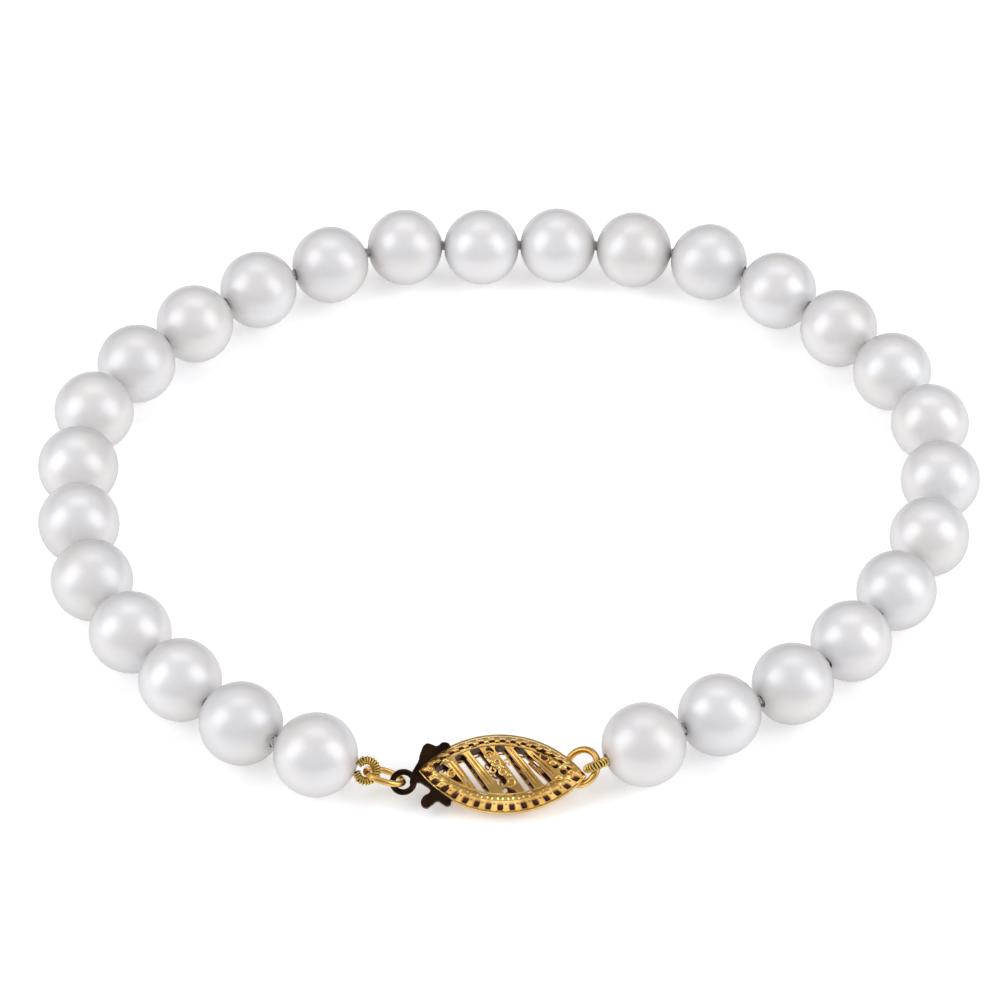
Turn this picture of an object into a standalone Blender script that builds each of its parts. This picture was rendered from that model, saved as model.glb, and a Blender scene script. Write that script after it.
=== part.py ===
"""Pearl bracelet: knotted pearls on a silk thread, closed by a gold filigree fish-hook clasp.

Metres, +Z up. The bracelet lies on the floor plane, fastened, with its clasp toward -Y.
The origin is the bottom centre of its bounding box.
"""

import math

import bmesh
import bpy
from mathutils import Matrix, Vector

MM = 0.001
WELD = 0.0002 * MM

# Pearls
PEARL_DIAMETER = 6.0 * MM
DRILL_DIAMETER = 1.0 * MM
PEARL_GAP = 0.25 * MM
PEARL_SIDES = 14
PEARL_BANDS = 7

# The string, from the pearl left of the clasp round to the one right of it.
# Columns: pearls, share of the pearl diameter, share of the gap after each
STRING = (
    (4, 1.005, 0.70),
    (4, 1.010, 0.60),
    (4, 1.005, 1.15),
    (4, 0.990, 0.50),
    (4, 1.005, 1.30),
    (4, 0.985, 1.65),
    (4, 0.990, 0.95),
)

# The loop's route: its chosen points in mm, clockwise from the clasp's middle.
# The string's own length sets the scale that it is used at.
ROUTE = (
    (-0.5, -28.7),
    (-13.3, -27.8),
    (-18.8, -24.8),
    (-23.3, -20.6),
    (-30.4, -10.4),
    (-32.3, 1.7),
    (-31.6, 7.9),
    (-28.7, 13.5),
    (-19.7, 22.3),
    (-8.4, 27.5),
    (-2.2, 27.6),
    (3.8, 27.8),
    (15.7, 25.8),
    (25.5, 18.0),
    (32.0, 7.2),
    (31.2, -5.4),
    (24.9, -16.2),
    (20.6, -20.5),
    (15.3, -23.6),
    (9.7, -26.7),
)
ROUTE_STEPS = 16
FIT_ROUNDS = 20
HALVINGS = 30

# Thread
THREAD_DIAMETER = 0.44 * MM
KNOT_DIAMETER = 0.74 * MM
KNOT_LENGTH = 0.16 * MM
BORE_PLAY = 0.20 * MM

# Gimp: a short tube of coiled wire, bent into a loop
GIMP_DIAMETER = 0.66 * MM
GIMP_LOOP_WIDTH = 2.16 * MM
GIMP_REACH = 0.70 * MM
GIMP_LIFT = 0.06 * MM
GIMP_TILT = math.radians(22.0)
GIMP_LEG_GAP = 0.04 * MM
GIMP_WRAP = math.radians(115.0)
GIMP_STEPS = 12

# How far the clasp turns the end pearls' drills toward itself: 0 not at all, 1 right at it
END_PULL = 0.5

# Oval jump ring
RING_WIRE = 0.46 * MM
RING_LENGTH = 3.2 * MM
RING_WIDTH = 2.6 * MM
RING_TWIST = math.radians(52.0)
RING_STEPS = 18

# Clasp housing
HOUSING_LENGTH = 12.0 * MM
HOUSING_WIDTH = 5.9 * MM
CLASP_TURN = math.radians(-2.3)
CLASP_LEAN = math.radians(24.5)
CLASP_CLEARANCE = 0.05 * MM
RIM_WIDTH = 0.64 * MM
RIM_FLUTES = 15
FLANGE_HEIGHT = 0.34 * MM
RIM_HEIGHT = 1.60 * MM
FLUTE_DEPTH = 0.24 * MM
SHOULDER_IN = 0.25
SHOULDER_UP = 0.45
PANEL_EDGE = 1.36 * MM
PANEL_CROWN = 2.50 * MM
PANEL_WALL = 0.34 * MM
PANEL_LAP = 0.14 * MM
PANEL_RINGS = (1.0, 0.7, 0.36)
PANEL_STEPS = 12
PIERCING_WIDTH = 0.52 * MM
RELIEF_WIDTH = 0.30 * MM
RELIEF_RISE = 0.04 * MM
RIM_SLOT_LENGTH = 0.42 * MM
RIM_SLOT_WIDTH = 0.18 * MM
RIM_SLOT_INSET = 0.06 * MM

# End ring, soldered behind the housing's right tip
END_RING_DIAMETER = 3.1 * MM
END_RING_WIRE = 0.50 * MM
END_RING_OUT = 0.40 * MM
END_RING_UP = 0.85 * MM
END_RING_BACK = 0.45 * MM
END_RING_TILT = math.radians(30.0)
END_RING_STEPS = 16

# Tongue
TONGUE_THICKNESS = 0.44 * MM
TONGUE_SLIT = 0.74 * MM
TONGUE_SLIT_LENGTH = 3.1 * MM
EYELET_DIAMETER = 1.94 * MM
EYELET_THICKNESS = 0.48 * MM
EYELET_STEPS = 20
EYELET_HOLE = 1.06 * MM
EYELET_OUT = 0.90 * MM
EYELET_DOWN = 0.79 * MM

# Piercings through both panels, a straight slot with round ends each.
# Columns: start x, start y, end x, end y, width. Shares of the housing's half length,
# its half width and the piercing width.
PIERCINGS = (
    (-0.49, 0.27, -0.22, -0.46, 1.0),
    (-0.32, 0.46, 0.01, -0.30, 1.0),
    (-0.03, 0.54, 0.31, -0.38, 1.0),
    (0.19, 0.52, 0.52, -0.20, 1.0),
    (0.42, 0.40, 0.50, 0.34, 1.0),
    (-0.72, 0.03, -0.67, -0.04, 1.1),
    (-0.53, -0.24, -0.45, -0.31, 0.9),
    (-0.16, 0.50, -0.13, 0.44, 0.6),
    (0.06, -0.52, 0.16, -0.57, 0.6),
    (0.62, 0.16, 0.63, 0.14, 0.6),
    (0.72, 0.02, 0.73, 0.00, 0.6),
)

# Relief raised on both panels, a round bar each. Same columns, with the relief width.
RELIEF = (
    (-0.41, 0.39, -0.11, -0.38, 1.0),
    (-0.18, 0.30, 0.16, -0.42, 1.0),
    (0.08, 0.55, 0.42, -0.30, 1.0),
    (0.32, 0.45, 0.62, -0.08, 1.0),
    (-0.60, 0.14, -0.34, -0.50, 1.0),
    (-0.84, 0.08, -0.80, -0.08, 0.9),
    (-0.62, -0.10, -0.56, -0.16, 0.9),
    (0.66, -0.10, 0.70, -0.12, 1.1),
    (0.80, 0.08, 0.83, 0.06, 1.1),
)

# The tongue's outline, counterclockwise from inside its eyelet, in shares of the
# housing's half length and half width.
TONGUE_OUTLINE = (
    (-1.12, -0.20),
    (-1.05, 0.02),
    (-0.985, 0.25),
    (-0.965, 0.45),
    (-0.90, 0.70),
    (-0.84, 0.69),
    (-0.775, 0.65),
    (-0.70, 0.75),
    (-0.62, 0.69),
    (-0.63, 0.56),
    (-0.72, 0.34),
    (-0.775, 0.10),
    (-0.77, -0.20),
    (-0.69, -0.50),
    (-0.575, -0.76),
    (-0.62, -0.84),
    (-0.68, -0.79),
    (-0.74, -0.73),
    (-0.80, -0.82),
    (-0.87, -0.91),
    (-0.93, -0.82),
    (-0.91, -0.64),
    (-0.83, -0.48),
    (-0.90, -0.34),
    (-0.98, -0.16),
    (-1.08, -0.34),
)

# Colours: red, green, blue
NACRE = (0.80, 0.78, 0.76)
SILK = (0.50, 0.46, 0.47)
GOLD = (0.83, 0.58, 0.20)
DULL_GOLD = (0.55, 0.44, 0.20)
OXIDISED = (0.06, 0.035, 0.025)


def material(name, colour, roughness, metallic):
    """A Principled material of this colour."""
    made = bpy.data.materials.new(name)
    made.use_nodes = True
    shader = made.node_tree.nodes["Principled BSDF"]
    shader.inputs["Base Color"].default_value = (*colour, 1.0)
    shader.inputs["Roughness"].default_value = roughness
    shader.inputs["Metallic"].default_value = metallic
    return made


def add(name, data, look=None):
    """Links a new object that holds this data, with this material."""
    made = bpy.data.objects.new(name, data)
    bpy.context.scene.collection.objects.link(made)
    if look:
        data.materials.append(look)
    return made


def to_mesh(name, bm):
    """A mesh of this bmesh, welded and facing out."""
    bmesh.ops.remove_doubles(bm, verts=bm.verts, dist=WELD)
    bmesh.ops.recalc_face_normals(bm, faces=bm.faces)
    mesh = bpy.data.meshes.new(name)
    bm.to_mesh(mesh)
    bm.free()
    return mesh


def baked(obj):
    """The object's evaluated mesh, welded. The object itself is removed."""
    graph = bpy.context.evaluated_depsgraph_get()
    bm = bmesh.new()
    bm.from_mesh(obj.evaluated_get(graph).to_mesh())
    name = obj.name
    bpy.data.objects.remove(obj)
    return to_mesh(name, bm)


def bands(bm, loops):
    """Quads between each closed loop of vertices and the next one."""
    for near, far in zip(loops, loops[1:]):
        for i in range(len(near)):
            j = (i + 1) % len(near)
            bm.faces.new((near[i], near[j], far[j], far[i]))


def tube(name, points, width, sides, radii=None, closed=False):
    """A curve object: a round bar along the points, with filled ends."""
    curve = bpy.data.curves.new(name, "CURVE")
    curve.dimensions = "3D"
    curve.bevel_depth = width / 2
    curve.bevel_resolution = (sides - 4) // 2
    curve.use_fill_caps = not closed
    spline = curve.splines.new("POLY")
    spline.points.add(len(points) - 1)
    spline.use_cyclic_u = closed
    for i, point in enumerate(points):
        spline.points[i].co = (*point, 1.0)
        spline.points[i].radius = radii[i] if radii else 1.0
    return add(name, curve)


def boolean(obj, name, tools, operation):
    """Joins the tools to the object, or cuts them from it, and uses them up.

    The meshes are in millimetres meanwhile, where the solver is exact.
    """
    group = bpy.data.collections.new(name)
    bpy.context.scene.collection.children.link(group)
    for tool in tools:
        bpy.context.scene.collection.objects.unlink(tool)
        group.objects.link(tool)
        tool.data.transform(Matrix.Scale(1 / MM, 4))
    obj.data.transform(Matrix.Scale(1 / MM, 4))
    modifier = obj.modifiers.new(name, "BOOLEAN")
    modifier.operation = operation
    modifier.solver = "EXACT"
    modifier.operand_type = "COLLECTION"
    modifier.collection = group
    graph = bpy.context.evaluated_depsgraph_get()
    bm = bmesh.new()
    bm.from_mesh(obj.evaluated_get(graph).to_mesh())
    obj.modifiers.remove(modifier)
    bmesh.ops.remove_doubles(bm, verts=bm.verts, dist=WELD / MM)
    bmesh.ops.scale(bm, vec=(MM, MM, MM), verts=bm.verts)
    bm.to_mesh(obj.data)
    bm.free()
    for tool in tools:
        bpy.data.objects.remove(tool)
    bpy.data.collections.remove(group)


# Route and string


def pearl_sizes():
    """Each pearl's radius, and the gap after it."""
    rows = []
    for count, size, gap in STRING:
        rows += [(size * PEARL_DIAMETER / 2, gap * PEARL_GAP)] * count
    return rows


def smooth_route():
    """The chosen points joined by a closed Catmull-Rom curve."""
    points = [Vector((x * MM, y * MM, 0.0)) for x, y in ROUTE]
    count = len(points)
    route = []
    for i in range(count):
        before, start, end, after = (points[(i + k) % count] for k in (-1, 0, 1, 2))
        for step in range(ROUTE_STEPS):
            t = step / ROUTE_STEPS
            route.append(
                0.5
                * (
                    2 * start
                    + (end - before) * t
                    + (2 * before - 5 * start + 4 * end - after) * t**2
                    + (3 * start - before - 3 * end + after) * t**3
                )
            )
    return route


def dome_height(x, y):
    """How high the front panel's face stands over this point."""
    share = abs(2 * x / HOUSING_LENGTH) ** 2 + abs(2 * y / HOUSING_WIDTH) ** 2
    return (PANEL_EDGE + (PANEL_CROWN - PANEL_EDGE) * max(0.0, 1 - share)) / 2


def clasp_frame(middle):
    """The clasp's frame: x along it, y across its face, z out of its face."""
    section = [(HOUSING_WIDTH / 2 - RIM_WIDTH, RIM_HEIGHT / 2)]
    for i in range(8):
        y = i / 8 * HOUSING_WIDTH / 2
        section.append((y, dome_height(0.0, y) + RELIEF_WIDTH / 2 + RELIEF_RISE))
    reach = [y * math.sin(CLASP_LEAN) + z * math.cos(CLASP_LEAN) for y, z in section]
    height = max(reach) + CLASP_CLEARANCE
    place = Matrix.Translation(middle + Vector((0.0, 0.0, height)))
    return place @ Matrix.Rotation(CLASP_TURN, 4, "Z") @ Matrix.Rotation(CLASP_LEAN, 4, "X")


def eyelet_middle():
    """The eyelet's middle, in the clasp's frame."""
    return Vector((-HOUSING_LENGTH / 2 - EYELET_OUT, -EYELET_DOWN, 0.0))


def end_ring_point(angle):
    """A point on the end ring's wire, in the clasp's frame: angle 0 is its outer end."""
    middle = Vector((HOUSING_LENGTH / 2 - END_RING_OUT, END_RING_UP, -END_RING_BACK))
    radius = (END_RING_DIAMETER - END_RING_WIRE) / 2
    out = radius * math.cos(angle)
    tilted = Vector((math.cos(END_RING_TILT) * out, 0.0, math.sin(END_RING_TILT) * out))
    return middle + tilted + Vector((0.0, radius * math.sin(angle), 0.0))


def along(route, place, origin, height, reach):
    """The next place on the route whose point, at this height, is this far from origin."""
    up = Vector((0.0, 0.0, height))
    count = len(route)
    step = int(place)
    near = route[step % count] + up
    if place > step:
        near = near.lerp(route[(step + 1) % count] + up, place - step)
    at = place
    while True:
        far = route[(step + 1) % count] + up
        if (far - origin).length >= reach and (far - origin).length > (near - origin).length:
            low, high = 0.0, 1.0
            for _ in range(HALVINGS):
                share = (low + high) / 2
                if (near.lerp(far, share) - origin).length < reach:
                    low = share
                else:
                    high = share
            return at + share * (step + 1 - at), near.lerp(far, share)
        near = far
        step += 1
        at = float(step)


def string_pearls():
    """The clasp's frame and each pearl's middle, with the route scaled to fit the string."""
    sizes = pearl_sizes()
    unit_route = smooth_route()
    perimeter = sum((b - a).length for a, b in zip(unit_route, unit_route[1:] + unit_route[:1]))
    left_reach = RING_LENGTH - RING_WIRE + GIMP_REACH + sizes[0][0]
    right_reach = GIMP_REACH + sizes[-1][0]
    scale = 1.0
    for _ in range(FIT_ROUNDS):
        route = [point * scale for point in unit_route]
        frame = clasp_frame(route[0])
        hook = frame @ end_ring_point(0.0)
        place, middle = along(route, 0.0, frame @ eyelet_middle(), sizes[0][0], left_reach)
        middles = [middle]
        for (radius, gap), (next_radius, _) in zip(sizes, sizes[1:]):
            reach = math.sqrt((radius + next_radius + gap) ** 2 - (next_radius - radius) ** 2)
            flat = Vector((middle.x, middle.y, next_radius))
            place, middle = along(route, place, flat, next_radius, reach)
            middles.append(middle)
        miss = (middles[-1] - hook).length - right_reach
        scale -= miss / perimeter
    return frame, middles


def end_axis(here, neighbour, neighbour_axis, pull):
    """An end pearl's drill direction: its neighbour's, mirrored, then pulled to the clasp."""
    chord = (neighbour - here).normalized()
    mirrored = 2 * neighbour_axis.dot(chord) * chord - neighbour_axis
    return mirrored.normalized().lerp((here - pull).normalized(), END_PULL).normalized()


def drill_axes(middles, left_pull, right_pull):
    """Each pearl's drill direction, along the string. It halves the bend between neighbours."""
    inner = []
    for before, here, after in zip(middles, middles[1:], middles[2:]):
        inner.append(((after - here).normalized() + (here - before).normalized()).normalized())
    first = end_axis(middles[0], middles[1], inner[0], left_pull)
    last = -end_axis(middles[-1], middles[-2], -inner[-1], right_pull)
    return [first] + inner + [last]


# Pearls and thread


def mouth_depth(radius):
    """How far from a pearl's middle its drilled mouths lie."""
    return math.sqrt(radius**2 - (DRILL_DIAMETER / 2) ** 2)


def make_pearl(name, radius, middle, axis, look):
    """A drilled pearl, spun about its drill, with a flat of its girdle facing down."""
    band = math.pi / PEARL_BANDS
    round_out = 1 / math.cos(math.pi / PEARL_SIDES)
    girdle = radius * math.tan(band / 2)
    profile = [(-mouth_depth(radius), DRILL_DIAMETER / 2)]
    for i in range(1, PEARL_BANDS):
        latitude = i * band - math.pi / 2
        if i in (PEARL_BANDS // 2, PEARL_BANDS // 2 + 1):
            profile.append((math.copysign(girdle, latitude), radius * round_out))
        else:
            out = radius * math.cos(latitude) * round_out
            profile.append((radius * math.sin(latitude), out))
    profile.append((mouth_depth(radius), DRILL_DIAMETER / 2))
    bm = bmesh.new()
    first = Matrix.Rotation(math.pi / PEARL_SIDES, 3, "X")
    points = [bm.verts.new(first @ Vector((x, 0.0, -out))) for x, out in profile]
    edges = [bm.edges.new(pair) for pair in zip(points, points[1:] + points[:1])]
    bmesh.ops.spin(
        bm,
        geom=points + edges,
        cent=(0.0, 0.0, 0.0),
        axis=(1.0, 0.0, 0.0),
        angle=2 * math.pi,
        steps=PEARL_SIDES,
    )
    pearl = add(name, to_mesh(name, bm), look)
    pearl.rotation_euler = (
        0.0,
        -math.asin(axis.z),
        math.atan2(axis.y, axis.x),
    )
    turned = pearl.rotation_euler.to_matrix()
    lowest = min((turned @ vertex.co).z for vertex in pearl.data.vertices)
    pearl.location = (middle.x, middle.y, -lowest)
    return pearl


def leaned(mouth, toward, axis):
    """Where the thread leaves a drilled mouth: leaned, within the bore, toward this point."""
    lean = toward - mouth
    lean -= axis * lean.dot(axis)
    return mouth + lean.normalized() * min(lean.length, BORE_PLAY)


def make_thread(middles, axes, sizes, look):
    """The thread through every pearl, straight in each bore and knotted between them."""
    mouths = [axis * mouth_depth(radius) for axis, (radius, _) in zip(axes, sizes)]
    knot = KNOT_DIAMETER / THREAD_DIAMETER
    points = [middles[0] - mouths[0]]
    radii = [1.0]
    for i in range(len(middles) - 1):
        start = middles[i] + mouths[i]
        end = middles[i + 1] - mouths[i + 1]
        centre = (start + end) / 2
        start = leaned(start - axes[i] * KNOT_LENGTH, centre, axes[i])
        end = leaned(end + axes[i + 1] * KNOT_LENGTH, centre, axes[i + 1])
        half_knot = (end - start).normalized() * KNOT_LENGTH / 2
        points += [start, centre - half_knot, centre + half_knot, end]
        radii += [1.0, knot, knot, 1.0]
    points.append(middles[-1] + mouths[-1])
    radii.append(1.0)
    obj = tube("silk_thread", points, THREAD_DIAMETER, 6, radii)
    return add("silk_thread", baked(obj), look)


# Gimps and jump ring


def make_gimp(name, middle, radius, toward, across, look):
    """A gimp bent into a loop, with both ends at the pearl's drilled mouth."""
    out = (toward - middle).normalized()
    side = (across - out * across.dot(out)).normalized()
    half = (GIMP_LOOP_WIDTH - GIMP_DIAMETER) / 2
    start = radius + GIMP_LIFT
    foot = (GIMP_DIAMETER + GIMP_LEG_GAP) / 2
    centre = (toward - middle).length
    points = [middle + out * start - side * foot]
    for i in range(GIMP_STEPS + 1):
        angle = (2 * i / GIMP_STEPS - 1) * GIMP_WRAP
        points.append(middle + out * (centre + half * math.cos(angle)) + side * half * math.sin(angle))
    points.append(middle + out * start + side * foot)
    return add(name, baked(tube(name, points, GIMP_DIAMETER, 8)), look)


def make_jump_ring(eyelet, gimp, face, look):
    """An oval ring from the eyelet's hole to inside the gimp's loop."""
    middle = (eyelet + gimp) / 2
    long = (gimp - eyelet).normalized()
    flat = face.cross(long).normalized()
    normal = long.cross(flat).normalized()
    short = flat * math.cos(RING_TWIST) + normal * math.sin(RING_TWIST)
    half_length = (RING_LENGTH - RING_WIRE) / 2
    half_width = (RING_WIDTH - RING_WIRE) / 2
    points = []
    for i in range(RING_STEPS):
        angle = i / RING_STEPS * 2 * math.pi
        points.append(
            middle + long * half_length * math.cos(angle) + short * half_width * math.sin(angle)
        )
    return add("jump_ring", baked(tube("jump_ring", points, RING_WIRE, 6, closed=True)), look)


# Clasp


def marquise(share, inset, side):
    """A point on the pointed oval, from its left tip at share -1 to its right tip at 1."""
    half_length = HOUSING_LENGTH / 2
    half_width = HOUSING_WIDTH / 2
    tip = 2 * math.atan2(half_width, half_length)
    length = half_length - inset / math.sin(tip)
    width = half_width - inset
    radius = (length**2 + width**2) / (2 * width)
    angle = share * math.asin(length / radius)
    return radius * math.sin(angle), side * (radius * math.cos(angle) - radius + width)


def make_rim():
    """The rim's mesh: a fluted slope above and below a plain flange."""
    crest = RIM_HEIGHT / 2
    flange = FLANGE_HEIGHT / 2
    shoulder = flange + SHOULDER_UP * (crest - flange)
    steps = 3 * RIM_FLUTES
    bm = bmesh.new()
    loops = []
    for side in (1, -1):
        for i in range(steps):
            share = side * (1 - 2 * i / steps)
            dip = FLUTE_DEPTH if i % 3 == 1 else 0.0
            section = (
                (0.0, -flange),
                (0.0, flange),
                (SHOULDER_IN * RIM_WIDTH, shoulder - dip),
                (RIM_WIDTH, crest - dip),
                (RIM_WIDTH, dip - crest),
                (SHOULDER_IN * RIM_WIDTH, dip - shoulder),
            )
            loop = []
            for inset, height in section:
                x, y = marquise(share, inset, side)
                loop.append(bm.verts.new((x, y, height)))
            loops.append(loop)
    bands(bm, loops + loops[:1])
    return to_mesh("clasp_housing", bm)


def make_panel(name, face):
    """A domed panel, front or back, that laps into the rim."""
    inset = RIM_WIDTH - PANEL_LAP
    bm = bmesh.new()
    skins = []
    for wall in (0.0, PANEL_WALL):
        loops = []
        for scale in PANEL_RINGS:
            loop = []
            for side in (1, -1):
                for i in range(PANEL_STEPS):
                    x, y = marquise(side * (1 - 2 * i / PANEL_STEPS), inset, side)
                    x, y = x * scale, y * scale
                    loop.append(bm.verts.new((x, y, face * (dome_height(x, y) - wall))))
            loops.append(loop)
        bands(bm, loops)
        pole = bm.verts.new((0.0, 0.0, face * (dome_height(0.0, 0.0) - wall)))
        for near, far in zip(loop, loop[1:] + loop[:1]):
            bm.faces.new((near, far, pole))
        skins.append(loops)
    bands(bm, [skins[0][0], skins[1][0]])
    return add(name, to_mesh(name, bm))


def slot(name, start, end, width, ends):
    """An upright prism: a straight slot, with this many corners at each end."""
    depth = 2 * PANEL_CROWN
    run = Vector(end) - Vector(start)
    turn = math.atan2(run.y, run.x)
    bm = bmesh.new()
    ring = []
    for centre, first in ((end, -90.0), (start, 90.0)):
        for k in range(ends):
            angle = turn + math.radians(first + 180.0 * k / (ends - 1))
            x = centre[0] + width / 2 * math.cos(angle)
            y = centre[1] + width / 2 * math.sin(angle)
            ring.append(bm.verts.new((x, y, -depth)))
    base = bm.faces.new(ring)
    top = bmesh.ops.extrude_face_region(bm, geom=[base])["geom"]
    lifted = [item for item in top if isinstance(item, bmesh.types.BMVert)]
    bmesh.ops.translate(bm, verts=lifted, vec=(0.0, 0.0, 2 * depth))
    return add(name, to_mesh(name, bm))


def rim_slots():
    """The small slots between the rim and the panels."""
    inset = RIM_WIDTH + RIM_SLOT_INSET + RIM_SLOT_WIDTH / 2
    cutters = []
    for side in (1, -1):
        for i in range(2, RIM_FLUTES - 2):
            share = 2 * (i + 0.5) / RIM_FLUTES - 1
            near = Vector(marquise(share - 1 / RIM_FLUTES, inset, side))
            far = Vector(marquise(share + 1 / RIM_FLUTES, inset, side))
            here = (near + far) / 2
            step = (far - near).normalized() * RIM_SLOT_LENGTH / 2
            cutters.append(slot("rim_slot", here - step, here + step, RIM_SLOT_WIDTH, 2))
    return cutters


def piercings():
    """The panels' long gaps and round holes."""
    cutters = []
    for start_x, start_y, end_x, end_y, width in PIERCINGS:
        start = (start_x * HOUSING_LENGTH / 2, start_y * HOUSING_WIDTH / 2)
        end = (end_x * HOUSING_LENGTH / 2, end_y * HOUSING_WIDTH / 2)
        cutters.append(slot("piercing", start, end, width * PIERCING_WIDTH, 3))
    return cutters


def relief_bars():
    """The raised bars and bosses, half sunk in both panels."""
    bars = []
    for start_x, start_y, end_x, end_y, width in RELIEF:
        for face in (1, -1):
            points = []
            for share in (0.0, 0.5, 1.0):
                x = (start_x + share * (end_x - start_x)) * HOUSING_LENGTH / 2
                y = (start_y + share * (end_y - start_y)) * HOUSING_WIDTH / 2
                points.append((x, y, face * (dome_height(x, y) + RELIEF_RISE)))
            bars.append(add("relief", baked(tube("bar", points, width * RELIEF_WIDTH, 6))))
    return bars


def make_housing(root, frame, look):
    """The pierced housing: rim, both panels, relief and end ring as one solid."""
    housing = add("clasp_housing", make_rim(), look)
    housing.parent = root
    panels = [make_panel("front_panel", 1), make_panel("back_panel", -1)] + relief_bars()
    points = [end_ring_point(i / END_RING_STEPS * 2 * math.pi) for i in range(END_RING_STEPS)]
    ring = add("end_ring", baked(tube("end_ring", points, END_RING_WIRE, 6, closed=True)))
    slit = bmesh.new()
    bmesh.ops.create_cube(slit, size=1.0)
    slit_length = TONGUE_SLIT_LENGTH + 2 * RIM_WIDTH
    bmesh.ops.scale(slit, vec=(slit_length, HOUSING_WIDTH, TONGUE_SLIT), verts=slit.verts)
    away = Vector((TONGUE_SLIT_LENGTH - HOUSING_LENGTH / 2 - slit_length / 2, 0.0, 0.0))
    bmesh.ops.translate(slit, vec=away, verts=slit.verts)
    boolean(housing, "panels", panels, "UNION")
    boolean(housing, "cuts", rim_slots() + piercings(), "DIFFERENCE")
    boolean(housing, "end_ring", [ring], "UNION")
    boolean(housing, "slit", [add("tongue_slit", to_mesh("tongue_slit", slit))], "DIFFERENCE")
    housing.matrix_local = frame
    return housing


def make_tongue(root, frame, look):
    """The flat hook: outline, eyelet and the eyelet's hole."""
    curve = bpy.data.curves.new("outline", "CURVE")
    curve.dimensions = "2D"
    curve.fill_mode = "BOTH"
    curve.extrude = TONGUE_THICKNESS / 2
    curve.resolution_u = 2
    spline = curve.splines.new("BEZIER")
    spline.bezier_points.add(len(TONGUE_OUTLINE) - 1)
    spline.use_cyclic_u = True
    for corner, (x, y) in zip(spline.bezier_points, TONGUE_OUTLINE):
        corner.co = (x * HOUSING_LENGTH / 2, y * HOUSING_WIDTH / 2, 0.0)
        corner.handle_left_type = "AUTO"
        corner.handle_right_type = "AUTO"
    tongue = add("clasp_tongue", baked(add("outline", curve)), look)
    tongue.parent = root
    discs = []
    for name, radius, depth in (
        ("eyelet", EYELET_DIAMETER / 2, EYELET_THICKNESS),
        ("eyelet_hole", EYELET_HOLE / 2, 2 * EYELET_THICKNESS),
    ):
        bm = bmesh.new()
        bmesh.ops.create_cone(
            bm, cap_ends=True, segments=EYELET_STEPS, radius1=radius, radius2=radius, depth=depth
        )
        bmesh.ops.translate(bm, vec=eyelet_middle(), verts=bm.verts)
        discs.append(add(name, to_mesh(name, bm)))
    boolean(tongue, "eyelet", discs[:1], "UNION")
    boolean(tongue, "eyelet_hole", discs[1:], "DIFFERENCE")
    tongue.matrix_local = frame
    return tongue


def centre_on_origin(root):
    """Shifts the bracelet so that the origin is its bounding box's bottom centre."""
    bpy.context.view_layer.update()
    graph = bpy.context.evaluated_depsgraph_get()
    corners = []
    for obj in bpy.context.scene.objects:
        if obj.type == "MESH" and not obj.hide_render:
            shape = obj.evaluated_get(graph)
            corners += [shape.matrix_world @ vertex.co for vertex in shape.data.vertices]
    lowest = [min(corner[axis] for corner in corners) for axis in range(3)]
    highest = [max(corner[axis] for corner in corners) for axis in range(3)]
    root.location = (
        -(lowest[0] + highest[0]) / 2,
        -(lowest[1] + highest[1]) / 2,
        -lowest[2],
    )


def build():
    for obj in list(bpy.data.objects):
        bpy.data.objects.remove(obj)
    nacre = material("nacre", NACRE, 0.25, 0.0)
    silk = material("silk", SILK, 0.8, 0.0)
    gold = material("gold", GOLD, 0.2, 1.0)
    dull_gold = material("dull_gold", DULL_GOLD, 0.4, 1.0)
    oxidised = material("oxidised_brass", OXIDISED, 0.35, 1.0)
    root = bpy.data.objects.new("bracelet", None)
    bpy.context.scene.collection.objects.link(root)

    sizes = pearl_sizes()
    frame, middles = string_pearls()
    eyelet = frame @ eyelet_middle()
    left_loop = middles[0] + (eyelet - middles[0]).normalized() * (sizes[0][0] + GIMP_REACH)
    right_loop = frame @ end_ring_point(0.0)
    axes = drill_axes(middles, left_loop, right_loop)
    face = frame.to_3x3() @ Vector((0.0, 0.0, 1.0))
    across = frame.to_3x3() @ Vector((0.0, math.cos(GIMP_TILT), math.sin(GIMP_TILT)))
    upright = frame.to_3x3() @ Vector((0.0, -math.sin(GIMP_TILT), math.cos(GIMP_TILT)))

    for i, (middle, axis) in enumerate(zip(middles, axes)):
        pearl = make_pearl(f"pearl_{i + 1:02d}", sizes[i][0], middle, axis, nacre)
        pearl.parent = root
    for piece in (
        make_thread(middles, axes, sizes, silk),
        make_gimp("gimp_left", middles[0], sizes[0][0], left_loop, across, dull_gold),
        make_gimp("gimp_right", middles[-1], sizes[-1][0], right_loop, upright, dull_gold),
        make_jump_ring(eyelet, left_loop, face, gold),
    ):
        piece.parent = root
    make_tongue(root, frame, oxidised)
    make_housing(root, frame, gold)
    centre_on_origin(root)


build()
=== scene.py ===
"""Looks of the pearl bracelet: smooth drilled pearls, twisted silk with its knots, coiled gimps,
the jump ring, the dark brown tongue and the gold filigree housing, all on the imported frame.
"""

import math
import random

import bmesh
import bpy
from mathutils import Matrix, Vector


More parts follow.
